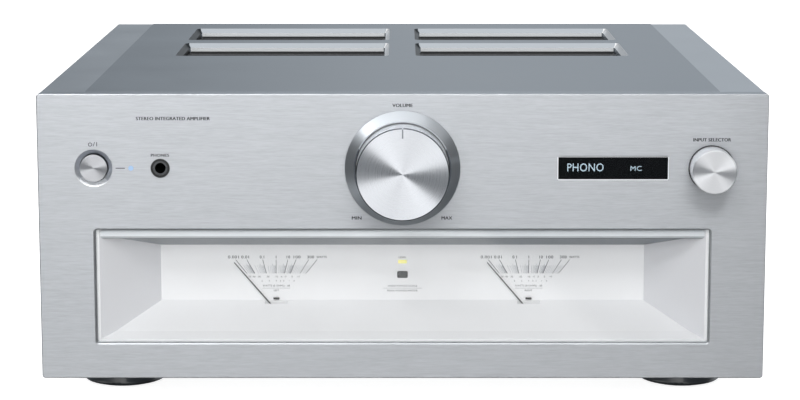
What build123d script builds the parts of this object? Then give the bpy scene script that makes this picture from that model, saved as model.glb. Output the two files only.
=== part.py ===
"""Integrated amplifier: thick front plate, two needle meters behind one window, vented top.

X points right as seen from the front, Y towards the back, Z up. Millimetres.
The origin is on the surface that the amplifier stands on, under the middle of its overall box.
"""

import os
from math import cos, radians, sin

from build123d import *

os.makedirs("parts", exist_ok=True)

# ------------------------------------------------------------------ driving dimensions
width = 430.0
overall_depth = 459.0
height = 191.0
knob_reach = 24.0  # volume knob's face ahead of the front plate
terminal_reach = 26.0  # speaker caps behind the rear panel
face_thick = 10.0
face_bottom = 20.0
sheet = 2.0  # steel sheet of the chassis
gap = 0.2  # between neighbours that don't touch
row_z = 147.0  # the line that the front controls stand on

front_y = -overall_depth / 2 + knob_reach  # front plate's front face
rear_y = overall_depth / 2 - terminal_reach  # rear panel's outer face
face_back = front_y + face_thick
case_back = rear_y - sheet  # where the side panels and the top plate end
base_z = face_bottom + 2.0  # underside of the bottom chassis
floor_z = base_z + sheet  # its upper side

# controls on the front, by their place across it
power_x = -182.0
led_x = -160.0
jack_x = -142.7
display_x = 124.0
selector_x = 182.0

volume_radius = 27.25
skirt_radius = 34.0
skirt_bore = 27.95
skirt_height = 6.0
selector_radius = 13.0
selector_reach = 16.0
button_radius = 8.1
button_bore = 8.6
button_dish = 2.6
button_travel = 2.0
jack_radius = 3.2  # takes a 6.35 mm plug
collar_radius = 5.6
led_radius = 1.5
shaft_radius = 3.0
bushing_radius = 4.5
bushing_hole = 4.7
running_gap = 0.05

display_width, display_height = 65.0, 13.6

# meter window and the tray behind it
window_width, window_height = 364.2, 68.7
window_z = 75.75
tray_front = 4.2  # depths are counted from the front plate's front face
tray_lip = 12.0
tray_back = 38.0
tray_wall = 2.0
mouth_half, mouth_low, mouth_high = 180.0, 43.0, 109.5
lip_half, lip_low, lip_high = 172.2, 45.9, 103.2
back_half, back_low, back_high = 147.0, 59.4, 93.7
meter_x = 76.9
pivot_z = 53.2
needle_depth = 36.0
needle_length = 39.2
needle_rest = 40.4  # degrees to the left of upright

# rear panel
post_x = (-180.0, -150.0, 150.0, 180.0)
post_z = 62.0
post_radius = 4.0
banana_radius = 2.0
ground_x, ground_z = -192.0, 138.0
socket_columns = (-165.0, -135.0, -105.0, -75.0, -45.0, 45.0)
socket_rows = (126.0, 150.0)
socket_radius = 4.15
socket_root = 3.7  # its narrower part, through the rear panel
inlet_z = 62.0
usb_x, usb_z = 90.0, 138.0

# top
flange_width = 26.7  # side panels' strip along the top
side_thick = 5.6
top_thick = 6.4
vent_width, vent_length = 142.5, 77.5
vent_x = 80.25
vent_rows = (28.7, 126.5)
vent_bevel = 3.0

foot_x, foot_front_y, foot_rear_y = 174.4, -126.0, 127.0
foot_radius = 26.0
pad_radius = 21.0
pad_thick = 2.0

screw_radius = 1.5
screw_hole = 1.7
board_thick = 1.6
board_rise = 10.0  # boards above the floor of the case
transformer_y = -60.0
transformer_height = 80.0
sink_height = 150.0
sink_inner, sink_base, sink_outer = 98.0, 8.0, 153.0


def facing(depth, x=0.0, z=0.0):
    """Plane parallel to the front plate, at a depth behind its front face, drawn as seen from the front."""
    return Plane(origin=(x, front_y + depth, z), x_dir=(1, 0, 0), z_dir=(0, -1, 0))


def rearward(reach, x=0.0, z=0.0):
    """Plane parallel to the rear panel, at a reach behind its outer face, drawn as seen from the back."""
    return Plane(origin=(x, rear_y + reach, z), x_dir=(-1, 0, 0), z_dir=(0, 1, 0))


def block(x, y, z, mode=Mode.ADD):
    """A box between limits on each axis."""
    with Locations(((x[0] + x[1]) / 2, (y[0] + y[1]) / 2, (z[0] + z[1]) / 2)):
        Box(x[1] - x[0], y[1] - y[0], z[1] - z[0], mode=mode)


def rod(x, z, radius, y, mode=Mode.ADD):
    """A round bar along Y, centred on x and z, between two limits of y."""
    with Locations(Location((x, (y[0] + y[1]) / 2, z), (90, 0, 0))):
        Cylinder(radius, y[1] - y[0], mode=mode)


def upright(x, y, radius, z, mode=Mode.ADD):
    """A round bar along Z, centred on x and y, between two limits of z."""
    with Locations((x, y, (z[0] + z[1]) / 2)):
        Cylinder(radius, z[1] - z[0], mode=mode)


def around(middle, half):
    """Limits that lie half either side of a middle."""
    return (middle - half, middle + half)


def save(part, name):
    part.label = name
    export_step(part, f"parts/{name}.step")


# ------------------------------------------------------------------ front plate
face_height = height - face_bottom
face_corner, face_chamfer = 1.8, 0.5
window_corner, window_chamfer = 1.5, 0.8
display_corner, display_chamfer = 1.0, 0.5
collar_hole = collar_radius + running_gap
lamp_hole = led_radius + running_gap
with BuildPart() as faceplate:
    with BuildSketch(facing(0)):
        with Locations((0, face_bottom + face_height / 2)):
            RectangleRounded(width, face_height, face_corner)
    extrude(amount=-face_thick)
    chamfer(faceplate.faces().sort_by(Axis.Y)[0].edges(), face_chamfer)
    with BuildSketch(facing(0)):
        with Locations((0, window_z)):
            RectangleRounded(window_width, window_height, window_corner)
        with Locations((display_x, row_z)):
            RectangleRounded(display_width, display_height, display_corner)
        with Locations((0, row_z), (selector_x, row_z)):
            Circle(bushing_hole)
        with Locations((power_x, row_z)):
            Circle(button_bore)
        with Locations((jack_x, row_z)):
            Circle(collar_hole)
        with Locations((led_x, row_z)):
            Circle(lamp_hole)
    extrude(amount=-face_thick, mode=Mode.SUBTRACT)
    openings = faceplate.faces().sort_by(Axis.Y)[0].inner_wires()
    chamfer(openings.sort_by(lambda wire: abs(wire.center().X - power_x))[0].edges(), button_dish)
    chamfer(openings.sort_by(lambda wire: wire.center().Z)[0].edges(), window_chamfer)
    chamfer(openings.sort_by(lambda wire: abs(wire.center().X - display_x))[0].edges(), display_chamfer)
save(faceplate.part, "faceplate")

# Steel plate behind the front plate, which carries the controls and the meter tray.
subpanel_back = face_back + sheet
subpanel_half, subpanel_top = 207.0, 184.0
flange_hole = 11.5  # the button's flange goes through here when it is pressed
sleeve_radius = 4.2
with BuildPart() as front_subpanel:
    block((-subpanel_half, subpanel_half), (face_back, subpanel_back), (floor_z, subpanel_top))
    with BuildSketch(facing(face_thick)):
        with Locations((0, window_z)):
            Rectangle(window_width, window_height)
        with Locations((display_x, row_z)):
            Rectangle(display_width, display_height)
        with Locations((0, row_z), (selector_x, row_z)):
            Circle(bushing_hole)
        with Locations((power_x, row_z)):
            Circle(flange_hole)
        with Locations((jack_x, row_z)):
            Circle(sleeve_radius + gap)
        with Locations((led_x, row_z)):
            Circle(led_radius + gap)
    extrude(amount=-sheet, mode=Mode.SUBTRACT)
save(front_subpanel.part, "front_subpanel")

# ------------------------------------------------------------------ volume control
skirt_edge, skirt_lip = 0.7, 0.7  # height of its outer edge, width of its flat top
with BuildPart() as volume_skirt:
    with BuildSketch(Plane(origin=(0, front_y, row_z), x_dir=(1, 0, 0), z_dir=(0, 0, 1))):
        with BuildLine():
            Polyline(
                (skirt_bore, 0),
                (skirt_radius, 0),
                (skirt_radius, -skirt_edge),
                (skirt_bore + skirt_lip, -skirt_height),
                (skirt_bore, -skirt_height),
                close=True,
            )
        make_face()
    revolve(axis=Axis((0, 0, row_z), (0, 1, 0)))
save(volume_skirt.part, "volume_skirt")


knob_gap = 1.0  # between a knob and the front plate
knob_chamfer = 0.6
shaft_seat = 5.0  # metal of a knob ahead of its shaft
pointer_width, pointer_length, pointer_depth = 0.9, 6.2, 0.5
nut_radius, nut_thick = 6.8, 2.5
bushing_reach = 4.0
encoder_half, encoder_depth = 8.5, 13.0
encoder_back = subpanel_back + encoder_depth


def knob(x, radius, reach, seat_radius, seat_depth, name):
    """A turned knob ahead of the front plate, bored for its shaft and hollowed round the nut behind it."""
    face, back = front_y - reach, front_y - knob_gap
    with BuildPart() as body:
        rod(x, row_z, radius, (face, back))
        chamfer(body.faces().sort_by(Axis.Y)[0].edges(), knob_chamfer)
        rod(x, row_z, seat_radius, (back - seat_depth, back), Mode.SUBTRACT)
        rod(x, row_z, shaft_radius, (face + shaft_seat, back), Mode.SUBTRACT)
        if name == "volume_knob":
            block(around(x, pointer_width / 2), (face, face + pointer_depth),
                  (row_z + radius - pointer_length, row_z + radius), Mode.SUBTRACT)
    save(body.part, name)


def encoder(x, name):
    """A rotary control's square body, with its threaded bushing, and the nut that holds it to the plate."""
    with BuildPart() as body:
        block(around(x, encoder_half), (subpanel_back, encoder_back), around(row_z, encoder_half))
        rod(x, row_z, bushing_radius, (front_y - bushing_reach, subpanel_back))
        rod(x, row_z, shaft_radius + running_gap, (front_y - bushing_reach, encoder_back - 2),
            Mode.SUBTRACT)
    with BuildPart() as nut:
        with BuildSketch(facing(0, x, row_z)):
            RegularPolygon(nut_radius, 6)
            Circle(bushing_radius, mode=Mode.SUBTRACT)
        extrude(amount=nut_thick)
    save(Compound(children=[body.part, nut.part]), name)


def control_shaft(x, reach, name):
    """The shaft that turns in a control's bushing and carries its knob."""
    with BuildPart() as shaft:
        rod(x, row_z, shaft_radius, (front_y - reach + shaft_seat, encoder_back - 3))
    save(shaft.part, name)


knob(0, volume_radius, knob_reach, seat_radius=10, seat_depth=8, name="volume_knob")
knob(selector_x, selector_radius, selector_reach, seat_radius=8, seat_depth=5, name="selector_knob")
encoder(0, "volume_encoder")
encoder(selector_x, "selector_encoder")
control_shaft(0, knob_reach, "volume_shaft")
control_shaft(selector_x, selector_reach, "selector_shaft")

# ------------------------------------------------------------------ power button, lamp and headphone socket
stem_end = front_y + 23.0
stem_radius = 2.5
button_proud, button_chamfer = 0.6, 0.3
button_flange, flange_front, flange_rear = 10.5, face_back + 0.3, face_back + 1.8
with BuildPart() as power_button:
    rod(power_x, row_z, button_radius, (front_y - button_proud, flange_front))
    chamfer(power_button.faces().sort_by(Axis.Y)[0].edges(), button_chamfer)
    rod(power_x, row_z, button_flange, (flange_front, flange_rear))
    rod(power_x, row_z, stem_radius, (flange_rear, stem_end))
save(power_button.part, "power_button")

board_front = front_y + 28.0  # front side of the control board
board_back = board_front + board_thick
lamp_step, lamp_base = front_y + 16.0, 2.5
with BuildPart() as power_lamp:
    rod(led_x, row_z, led_radius, (front_y - 0.1, lamp_step))
    rod(led_x, row_z, lamp_base, (lamp_step, board_front))
save(power_lamp.part, "power_lamp")

jack_front, jack_back = front_y - 0.4, front_y + 44.0
collar_back = front_y + 5.0
jack_half, jack_wall = 7.0, 3.0
with BuildPart() as jack_collar:
    rod(jack_x, row_z, collar_radius, (jack_front, collar_back))
    rod(jack_x, row_z, sleeve_radius, (jack_front, collar_back), Mode.SUBTRACT)
with BuildPart() as jack_sleeve:
    rod(jack_x, row_z, sleeve_radius, (jack_front + 0.8, subpanel_back))
    rod(jack_x, row_z, jack_radius, (jack_front, subpanel_back), Mode.SUBTRACT)
with BuildPart() as jack_body:
    block(around(jack_x, jack_half), (subpanel_back, jack_back), around(row_z, jack_half))
    rod(jack_x, row_z, jack_radius, (subpanel_back, jack_back - jack_wall), Mode.SUBTRACT)
save(Compound(children=[jack_collar.part, jack_sleeve.part, jack_body.part]), "headphone_socket")

# ------------------------------------------------------------------ display
pane_thick = 3.0
display_recess = 0.6
with BuildPart() as display_window:
    with BuildSketch(facing(display_recess)):
        with Locations((display_x, row_z)):
            RectangleRounded(display_width - 2 * gap, display_height - 2 * gap, display_corner - gap)
    extrude(amount=-pane_thick)
save(display_window.part, "display_window")

glass_half, glass_tall = 31.0, 6.0
module_half, module_tall, module_thick = 38.0, 13.0, 5.0
with BuildPart() as display_module:
    block(around(display_x, glass_half), (front_y + display_recess + pane_thick + gap, subpanel_back),
          around(row_z, glass_tall))
    block(around(display_x, module_half), (subpanel_back, subpanel_back + module_thick),
          around(row_z, module_tall))
save(display_module.part, "display_module")

# Printed circuit board behind the controls, cut away round the headphone socket. It carries the
# push switch behind the power button, a row of plug connectors, chips and capacitors.
switch_half, switch_front = 7.0, stem_end - 1.5
control_board_half, control_board_low, control_board_high = 200.0, 124.0, 178.0
connector_z, chip_z = 163.0, 142.0
with BuildPart() as control_board:
    block(around(0, control_board_half), (board_front, board_back), (control_board_low, control_board_high))
    block(around(jack_x, jack_half + 0.5), (board_front, board_back), around(row_z, jack_half + 0.5),
          Mode.SUBTRACT)
    block(around(power_x, switch_half), (switch_front, board_front), around(row_z, switch_half))
    rod(power_x, row_z, stem_radius + gap, (switch_front, stem_end + button_travel + gap), Mode.SUBTRACT)
    for x in (-100, -60, 60, 100):
        block(around(x, 12), (board_back, board_back + 7), around(connector_z, 3))
    for x in (-40, -20, 20, 40):
        block(around(x, 5), (board_back, board_back + 1.8), around(chip_z, 5))
    for x in (-85, 85, 150):
        rod(x, chip_z, 4, (board_back, board_back + 9))
save(control_board.part, "control_board")

# ------------------------------------------------------------------ meters
window_recess = 0.9
with BuildPart() as meter_window:
    with BuildSketch(facing(window_recess)):
        with Locations((0, window_z)):
            RectangleRounded(window_width - 2 * gap, window_height - 2 * gap, window_corner - gap)
    extrude(amount=-pane_thick)
    chamfer(meter_window.faces().sort_by(Axis.Y)[0].edges(), 0.6)
save(meter_window.part, "meter_window")


def tray_section(depth, half, low, high):
    """Rectangle across the tray at one depth, from -half to half and from low to high."""
    with BuildSketch(facing(depth)) as section:
        with Locations((0, (low + high) / 2)):
            Rectangle(2 * half, high - low)
    return section.sketch


flange_depth = face_thick + sheet
flange_thick, flange_half, flange_low, flange_high = 2.0, 190.0, 36.0, 116.0
slit_half, slit_depth = 7.0, 1.2
stop_half, stop_tall, stop_z = 1.8, 0.5, back_low + 1.0
lenses = {  # height above the surface, width and height of what shows, corner radius
    "level_lamp": (83.2, 5.3, 2.1, 0.45),
    "remote_sensor": (75.2, 6.4, 4.2, 0.85),
}
lens_gap = 0.05
with BuildPart() as meter_tray:
    with BuildSketch(facing(tray_front)):
        with Locations((0, window_z)):
            RectangleRounded(window_width - 3 * gap, window_height - 2 * gap, window_corner - gap)
    extrude(amount=tray_front - flange_depth)
    block(around(0, flange_half), (front_y + flange_depth, front_y + flange_depth + flange_thick),
          (flange_low, flange_high))
    loft([
        tray_section(flange_depth, lip_half + tray_wall, lip_low - tray_wall, lip_high + tray_wall),
        tray_section(tray_back + tray_wall, back_half + tray_wall, back_low - tray_wall,
                     back_high + tray_wall),
    ])
    loft([
        tray_section(tray_front, mouth_half, mouth_low, mouth_high),
        tray_section(tray_lip, lip_half, lip_low, mouth_high),
    ], mode=Mode.SUBTRACT)
    loft([
        tray_section(tray_lip, lip_half, lip_low, lip_high),
        tray_section(tray_back, back_half, back_low, back_high),
    ], mode=Mode.SUBTRACT)
    for x in (-meter_x, meter_x):
        # the slit that the needle stands in, and the hole for the stop behind it
        block(around(x, slit_half), around(front_y + needle_depth, slit_depth),
              (back_low - 6, back_low + 0.3), Mode.SUBTRACT)
        block(around(x, stop_half + lens_gap), around(front_y + tray_back, 3),
              around(stop_z, stop_tall + lens_gap), Mode.SUBTRACT)
    with BuildSketch(facing(tray_back)):
        for z, across, tall, corner in lenses.values():
            with Locations((0, z)):
                RectangleRounded(across + 2 * lens_gap, tall + 2 * lens_gap, corner + lens_gap)
    extrude(amount=-2 * tray_wall, mode=Mode.SUBTRACT)
save(meter_tray.part, "meter_tray")

for name, (z, across, tall, corner) in lenses.items():
    with BuildPart() as lens:
        with BuildSketch(facing(tray_back - 0.3)):
            with Locations((0, z)):
                RectangleRounded(across, tall, corner)
        extrude(amount=-7)
    save(lens.part, name)

# Light guide along the top of the tray, mitred to the side walls, with a rounded nose.
bar_front, bar_low, bar_high, bar_nose = tray_front + 0.4, lip_high + 0.4, mouth_high - 0.3, 2.2
wall_slope = (mouth_half - lip_half) / (tray_lip - tray_front)
bar_half = mouth_half - wall_slope * (bar_front - tray_front) - gap
with BuildPart() as meter_light_bar:
    with BuildSketch(Plane.XY.offset(bar_low)):
        with BuildLine():
            Polyline(
                (-bar_half, front_y + bar_front),
                (bar_half, front_y + bar_front),
                (lip_half - gap, front_y + tray_lip),
                (-lip_half + gap, front_y + tray_lip),
                close=True,
            )
        make_face()
    extrude(amount=bar_high - bar_low)
    nose = meter_light_bar.faces().sort_by(Axis.Y)[0].edges().filter_by(Axis.X)
    fillet(nose, bar_nose)
save(meter_light_bar.part, "meter_light_bar")

movement_front = front_y + tray_back + tray_wall + 2
movement_half, movement_low, movement_high, movement_depth = 16.0, 38.0, 66.0, 17.0
magnet_radius, magnet_depth = 11.0, 6.0
pivot_radius = 0.6
pivot_back = movement_front + 16.0
needle_thick, hub_radius, tail_length = 0.4, 1.2, 3.0
tail_width, tip_width = 0.9, 0.5


def meter_movement(x, name):
    """Moving-coil movement behind the tray, with the pivot's bearing and the stop under the scale."""
    back = movement_front + movement_depth
    with BuildPart() as body:
        block(around(x, movement_half), (movement_front, back), (movement_low, movement_high))
        rod(x, pivot_z, magnet_radius, (back, back + magnet_depth))
        block(around(x, stop_half), (front_y + needle_depth + 0.8, movement_front),
              around(stop_z, stop_tall))
        rod(x, pivot_z, pivot_radius + running_gap, (movement_front, pivot_back + 0.5), Mode.SUBTRACT)
    save(body.part, name)


def needle(x, name):
    """Pointer, hub, counterweight and pivot of one meter, leaning to the left stop."""
    lean = radians(needle_rest)
    front = (x, front_y + needle_depth - needle_thick / 2, pivot_z)
    with BuildPart() as pointer:
        with BuildSketch(Plane(origin=front, x_dir=(cos(lean), 0, sin(lean)), z_dir=(0, -1, 0))):
            with BuildLine():
                Polyline(
                    (-tail_width / 2, -tail_length),
                    (tail_width / 2, -tail_length),
                    (tip_width / 2, needle_length),
                    (-tip_width / 2, needle_length),
                    close=True,
                )
            make_face()
            Circle(hub_radius)
        extrude(amount=-needle_thick)
        rod(x, pivot_z, pivot_radius, (front_y + needle_depth + needle_thick / 2, pivot_back))
    save(pointer.part, name)


for x, word in ((-meter_x, "left"), (meter_x, "right")):
    meter_movement(x, f"{word}_meter_movement")
    needle(x, f"{word}_needle")

# ------------------------------------------------------------------ casing
chassis_half, chassis_flange = 208.6, 28.0
side_outer = width / 2 - 0.4
side_inner = side_outer - side_thick
strip_inner = side_outer - flange_width
strip_thick = 5.0
strip_top = height - 0.4
foot_places = [(x, y) for x in (-foot_x, foot_x) for y in (foot_front_y, foot_rear_y)]
foot_bolt_radius, transformer_bolt_radius = 2.5, 4.0
with BuildPart() as bottom_chassis:
    block(around(0, chassis_half), (subpanel_back, case_back), (base_z, floor_z))
    for x in (-chassis_half, chassis_half - sheet):
        block((x, x + sheet), (subpanel_back, case_back), (floor_z, floor_z + chassis_flange))
    with BuildSketch(Plane.XY.offset(base_z)):
        with Locations((-124, 76), (124, 76)):
            with GridLocations(0, 12, 1, 13):
                SlotOverall(60, 5)
        with Locations(*foot_places):
            Circle(foot_bolt_radius)
        with Locations((0, transformer_y)):
            Circle(transformer_bolt_radius)
    extrude(amount=sheet, mode=Mode.SUBTRACT)
save(bottom_chassis.part, "bottom_chassis")

# Screws go in from the back: three up each side panel and three along the top plate.
screw_depth = 9.0
screw_levels = (40, 105, 168)
side_screw_x = (side_inner + side_outer) / 2
side_screws = [(x, z) for x in (-side_screw_x, side_screw_x) for z in screw_levels]
top_screws = [(x, height - top_thick / 2) for x in (-120, 0, 120)]

for side, name in ((-1, "left_side_panel"), (1, "right_side_panel")):
    with BuildPart() as side_panel:
        with BuildSketch(Plane.XZ.offset(-face_back)):
            with BuildLine():
                Polyline(
                    (side * side_outer, face_bottom + 1),
                    (side * side_outer, strip_top),
                    (side * strip_inner, strip_top),
                    (side * strip_inner, strip_top - strip_thick),
                    (side * side_inner, strip_top - strip_thick),
                    (side * side_inner, face_bottom + 1),
                    close=True,
                )
            make_face()
        extrude(amount=face_back - case_back)
        corner = side_panel.edges().filter_by(Axis.Y).group_by(Axis.Z)[-1].sort_by(Axis.X)
        fillet(corner[0 if side < 0 else -1], 1.0)
        for z in screw_levels:
            rod(side * side_screw_x, z, screw_radius, (case_back - screw_depth, case_back), Mode.SUBTRACT)
    save(side_panel.part, name)

top_half = strip_inner - 0.3
slot_half_x = vent_width / 2 - vent_bevel
slot_half_y = vent_length / 2 - vent_bevel
vent_places = [(x, y) for x in (-vent_x, vent_x) for y in vent_rows]
with BuildPart() as top_plate:
    block(around(0, top_half), (face_back + gap, case_back), (height - top_thick, height))
    with BuildSketch(Plane.XY.offset(height)):
        with Locations(*vent_places):
            RectangleRounded(2 * slot_half_x, 2 * slot_half_y, 1.5)
    extrude(amount=-top_thick, mode=Mode.SUBTRACT)
    chamfer(top_plate.faces().sort_by(Axis.Z)[-1].inner_wires().edges(), vent_bevel)
    for x, z in top_screws:
        rod(x, z, screw_radius, (case_back - screw_depth, case_back), Mode.SUBTRACT)
save(top_plate.part, "top_plate")

grille_top = height - top_thick - gap
grille_thick, grille_half, grille_margin = 1.6, 162.0, 44.0
grille_pitch, grille_slot = 9.4, 5.6
with BuildPart() as vent_grille:
    block(around(0, grille_half), (vent_rows[0] - grille_margin, vent_rows[1] + grille_margin),
          (grille_top - grille_thick, grille_top))
    with BuildSketch(Plane.XY.offset(grille_top)):
        with Locations(*vent_places):
            with GridLocations(0, grille_pitch, 1, 8):
                SlotOverall(2 * slot_half_x - 2, grille_slot)
    extrude(amount=-grille_thick, mode=Mode.SUBTRACT)
save(vent_grille.part, "vent_grille")

# ------------------------------------------------------------------ rear panel and its fasteners
inlet_plate, inlet_half_x, inlet_half_z = 2.5, 13.4, 9.6
inlet_screws = [(x, inlet_z) for x in (-20, 20)]
usb_half_x, usb_half_z = 6.0, 5.5
post_hole, ground_radius = 6.0, 2.0
with BuildPart() as rear_panel:
    block((-214, 214), (case_back, rear_y), (base_z, height - 0.6))
    with BuildSketch(rearward(0)):
        with Locations(*[(-x, z) for x, z in side_screws + top_screws + inlet_screws]):
            Circle(screw_hole)
        with Locations(*[(-x, z) for x in socket_columns for z in socket_rows]):
            Circle(socket_root + gap)
        with Locations(*[(-x, post_z) for x in post_x]):
            Circle(post_hole)
        with Locations((-ground_x, ground_z)):
            Circle(ground_radius)
        with Locations((0, inlet_z)):
            Rectangle(2 * (inlet_half_x + gap), 2 * (inlet_half_z + gap))
        with Locations((-usb_x, usb_z)):
            Rectangle(2 * (usb_half_x + gap), 2 * (usb_half_z + gap))
    extrude(amount=-sheet, mode=Mode.SUBTRACT)
save(rear_panel.part, "rear_panel")

head_radius, head_height, head_slot = 2.9, 1.9, 0.7


def rear_screw(x, z, seat):
    """Pan-head screw driven in from the back, its head's underside at y = seat, with a cross recess."""
    recess = (seat + head_height / 2, seat + head_height)
    with BuildPart() as fastener:
        rod(x, z, screw_radius, (seat - screw_depth, seat))
        rod(x, z, head_radius, (seat, seat + head_height))
        fillet(fastener.faces().sort_by(Axis.Y)[-1].edges(), head_height * 0.4)
        block(around(x, head_radius / 2), recess, around(z, head_slot / 2), Mode.SUBTRACT)
        block(around(x, head_slot / 2), recess, around(z, head_radius / 2), Mode.SUBTRACT)
    return fastener.part


foot_bolt_head = (5.5, 9.0)


def foot_bolt(x, y):
    """Socket-head bolt that holds a foot to the chassis from below."""
    with BuildPart() as fastener:
        upright(x, y, foot_bolt_radius, (foot_bolt_head[1], floor_z + 5))
        upright(x, y, 4.5, foot_bolt_head)
        with BuildSketch(Plane.XY.offset(foot_bolt_head[0])):
            with Locations((x, y)):
                RegularPolygon(2.2, 6)
        extrude(amount=2, mode=Mode.SUBTRACT)
    return fastener.part


fasteners = [rear_screw(x, z, rear_y) for x, z in side_screws + top_screws]
fasteners += [rear_screw(x, z, rear_y + inlet_plate) for x, z in inlet_screws]
fasteners += [foot_bolt(x, y) for x, y in foot_places]
save(Compound(children=fasteners), "chassis_screws")

# ------------------------------------------------------------------ feet
pad_seat = 1.0  # how deep each rubber pad sits in its foot
groove_low, groove_high = base_z - 6.0, base_z - 4.5
feet, pads = [], []
for x, y in foot_places:
    with BuildPart() as foot:
        upright(x, y, foot_radius, (pad_seat, base_z))
        fillet(foot.faces().sort_by(Axis.Z)[0].edges(), 2.5)
        with BuildSketch(Plane.XY.offset(groove_low)):
            with Locations((x, y)):
                Circle(foot_radius)
                Circle(foot_radius - 1, mode=Mode.SUBTRACT)
        extrude(amount=groove_high - groove_low, mode=Mode.SUBTRACT)
        upright(x, y, pad_radius, (pad_seat, pad_thick), Mode.SUBTRACT)
        upright(x, y, foot_bolt_radius, (pad_thick, base_z), Mode.SUBTRACT)
        upright(x, y, 5, (pad_thick, foot_bolt_head[1]), Mode.SUBTRACT)
    feet.append(foot.part)
    with BuildPart() as pad:
        upright(x, y, pad_radius, (0, pad_thick))
        upright(x, y, 6, (0, pad_thick), Mode.SUBTRACT)
        fillet(pad.faces().sort_by(Axis.Z)[0].outer_wire().edges(), 0.5)
    pads.append(pad.part)
save(Compound(children=feet), "feet")
save(Compound(children=pads), "foot_pads")

# ------------------------------------------------------------------ power supply
core_inner, core_outer, core_corner = 24.0, 74.0, 14.0
core_middle = (core_inner + core_outer) / 2
core_top = floor_z + 2 + transformer_height
with BuildPart() as transformer:
    with BuildSketch(Plane.XZ.offset(-transformer_y)):
        with Locations((core_middle, core_top - transformer_height / 2)):
            RectangleRounded(core_outer - core_inner, transformer_height, core_corner)
    revolve(axis=Axis((0, transformer_y, 0), (0, 0, 1)))
save(transformer.part, "transformer")

dish_thick, dish_drop = 2.0, 3.0
with BuildPart() as clamp_dish:
    with BuildSketch(Plane.XZ.offset(-transformer_y)):
        with BuildLine():
            Polyline(
                (transformer_bolt_radius, core_top - dish_drop),
                (core_inner - 1, core_top - dish_drop),
                (core_inner + 6, core_top),
                (core_middle, core_top),
                (core_middle, core_top + dish_thick),
                (core_inner + 5, core_top + dish_thick),
                (core_inner - 2, core_top - dish_drop + dish_thick),
                (transformer_bolt_radius, core_top - dish_drop + dish_thick),
                close=True,
            )
        make_face()
    revolve(axis=Axis((0, transformer_y, 0), (0, 0, 1)))
with BuildPart() as clamp_bolt:
    upright(0, transformer_y, transformer_bolt_radius, (base_z, core_top + 7))
    with BuildSketch(Plane.XY.offset(core_top - dish_drop + dish_thick)):
        with Locations((0, transformer_y)):
            RegularPolygon(7.5, 6)
    extrude(amount=6.5)
save(Compound(children=[clamp_dish.part, clamp_bolt.part]), "transformer_clamp")

board_top = floor_z + board_rise + board_thick
can_radius, can_height = 20.0, 80.0
cans = []
for x, y in [(x, y) for x in (-25, 25) for y in (46, 96)]:
    with BuildPart() as can:
        upright(x, y, can_radius, (board_top, board_top + can_height))
        fillet(can.faces().sort_by(Axis.Z)[-1].edges(), 2)
        upright(x, y, can_radius - 4, (board_top + can_height - 0.8, board_top + can_height), Mode.SUBTRACT)
    cans.append(can.part)
save(Compound(children=cans), "filter_capacitors")

# Rectifier, relays and the supply's own connectors stand behind the capacitors.
supply_half, supply_y = 52.0, (20.0, 160.0)
with BuildPart() as power_supply_board:
    block(around(0, supply_half), supply_y, (board_top - board_thick, board_top))
    block((-30, 30), (124, 134), (board_top, board_top + 18))
    for x in (-42, 42):
        block(around(x, 6), (138, 156), (board_top, board_top + 12))
save(power_supply_board.part, "power_supply_board")

# ------------------------------------------------------------------ output stages
sink_y = (-16.0, 168.0)
sink_middle = sum(sink_y) / 2
fin_count, fin_thick, fin_pitch = 21, 2.0, 9.1
fin_low = floor_z + 12
fin_length = sink_outer - sink_inner - sink_base
transistor_thick, transistor_half, transistor_z = 5.0, 8.0, (70.0, 92.0)
amplifier_inner, amplifier_outer, amplifier_y = 59.0, 97.5, (-14.0, 166.0)
transistors = []
for side, word in ((-1, "left"), (1, "right")):
    base = side * (sink_inner + sink_base / 2)
    with BuildPart() as heatsink:
        block(around(base, sink_base / 2), sink_y, (floor_z, sink_height))
        with BuildSketch(Plane.XY.offset(fin_low)):
            with Locations((side * (sink_outer - fin_length / 2), sink_middle)):
                with GridLocations(0, fin_pitch, 1, fin_count):
                    Rectangle(fin_length, fin_thick)
        extrude(amount=sink_height - fin_low)
    save(heatsink.part, f"{word}_heatsink")

    # emitter resistors stand along the inner edge of each board, driver capacitors along the middle
    board = sorted((side * amplifier_inner, side * amplifier_outer))
    with BuildPart() as amplifier_board:
        block(board, amplifier_y, (board_top - board_thick, board_top))
        for y in (4, 40, 76, 112, 148):
            block(around(side * 69, 8), around(y, 6), (board_top, board_top + 15))
        for y in (22, 58, 94, 130):
            upright(side * 84, y, 5, (board_top, board_top + 18))
    save(amplifier_board.part, f"{word}_amplifier_board")

    package = side * (sink_inner - transistor_thick / 2)
    for y in (10, 54, 98, 142):
        with BuildPart() as transistor:
            block(around(package, transistor_thick / 2), around(y, transistor_half), transistor_z)
            for pin in (-5.4, 0, 5.4):
                block(around(package, 0.4), around(y + pin, 0.6), (board_top, transistor_z[0]))
        transistors.append(transistor.part)
save(Compound(children=transistors), "power_transistors")

standoff_places = [(x, y) for x in (-48, 48) for y in (24, 156)]
standoff_places += [(x, y) for x in (-78, 78) for y in (-8, 160)]
standoffs = []
for x, y in standoff_places:
    with BuildPart() as standoff:
        upright(x, y, 3, (floor_z, floor_z + board_rise))
    standoffs.append(standoff.part)
save(Compound(children=standoffs), "board_standoffs")

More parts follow.
